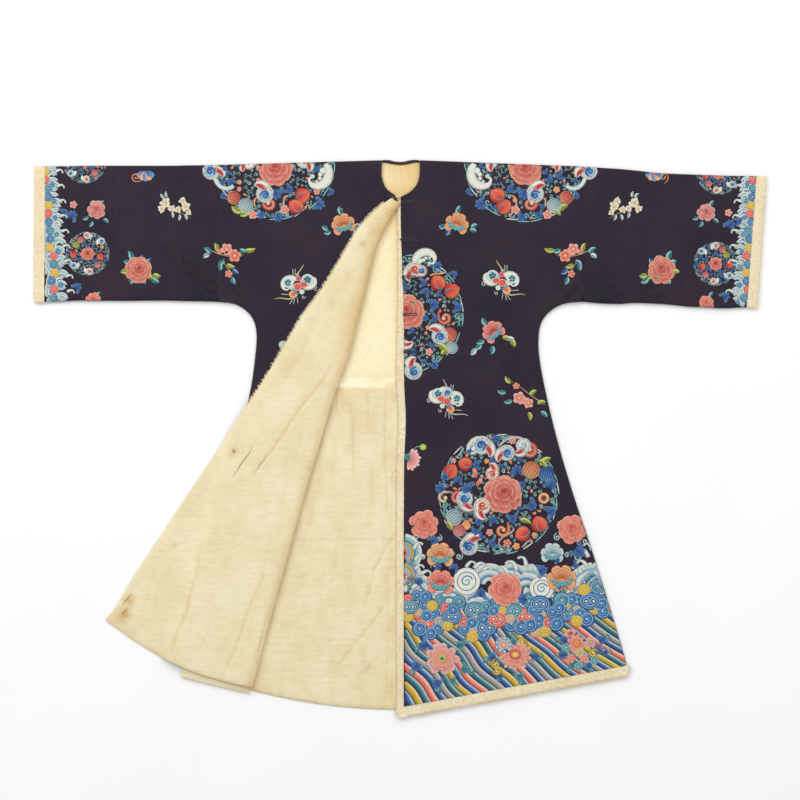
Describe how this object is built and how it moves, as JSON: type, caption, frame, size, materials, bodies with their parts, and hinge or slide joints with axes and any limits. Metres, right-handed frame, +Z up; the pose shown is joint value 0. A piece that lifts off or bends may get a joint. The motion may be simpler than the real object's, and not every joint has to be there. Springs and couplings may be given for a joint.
{
  "type": "jifu surcoat",
  "caption": "Wide-sleeved embroidered court surcoat laid flat, with one front turned back over the side to show the pale lining.",
  "frame": {"origin": "on the floor, under the middle of the garment's outline", "axes": "+X towards the wearer's left sleeve, +Y towards the neck, +Z up from the floor that the garment lies on"},
  "size_m": [1.828, 1.394, 0.0238],
  "materials": {
    "silk": "plum-navy satin, embroidered",
    "lining_cloth": "pale cream cloth, soft creases",
    "lining_fleece": "curly cream fleece",
    "fur": "short clipped cream fur",
    "binding": "dark silk binding",
    "frog_cord": "dark twisted cord"
  },
  "bodies": {
    "root": {"left_body_silk": "silk", "right_body_silk": "silk", "left_front_lining": "lining_cloth", "left_edge_fur": "fur", "left_hem_fur": "fur", "right_front_lining": "lining_cloth", "back_lining_fleece": "lining_fleece", "back_lining_cloth": "lining_cloth", "left_sleeve_upper": "silk", "left_sleeve_lower": "silk", "left_cuff_fur": "fur", "right_sleeve_upper": "silk", "right_sleeve_lower": "silk", "right_cuff_fur": "fur", "left_neck_binding": "binding", "right_neck_binding": "binding", "back_neck_binding": "binding", "frog_1": "frog_cord", "frog_2": "frog_cord", "frog_3": "frog_cord", "frog_4": "frog_cord", "frog_5": "frog_cord"}
  },
  "joints": []
}
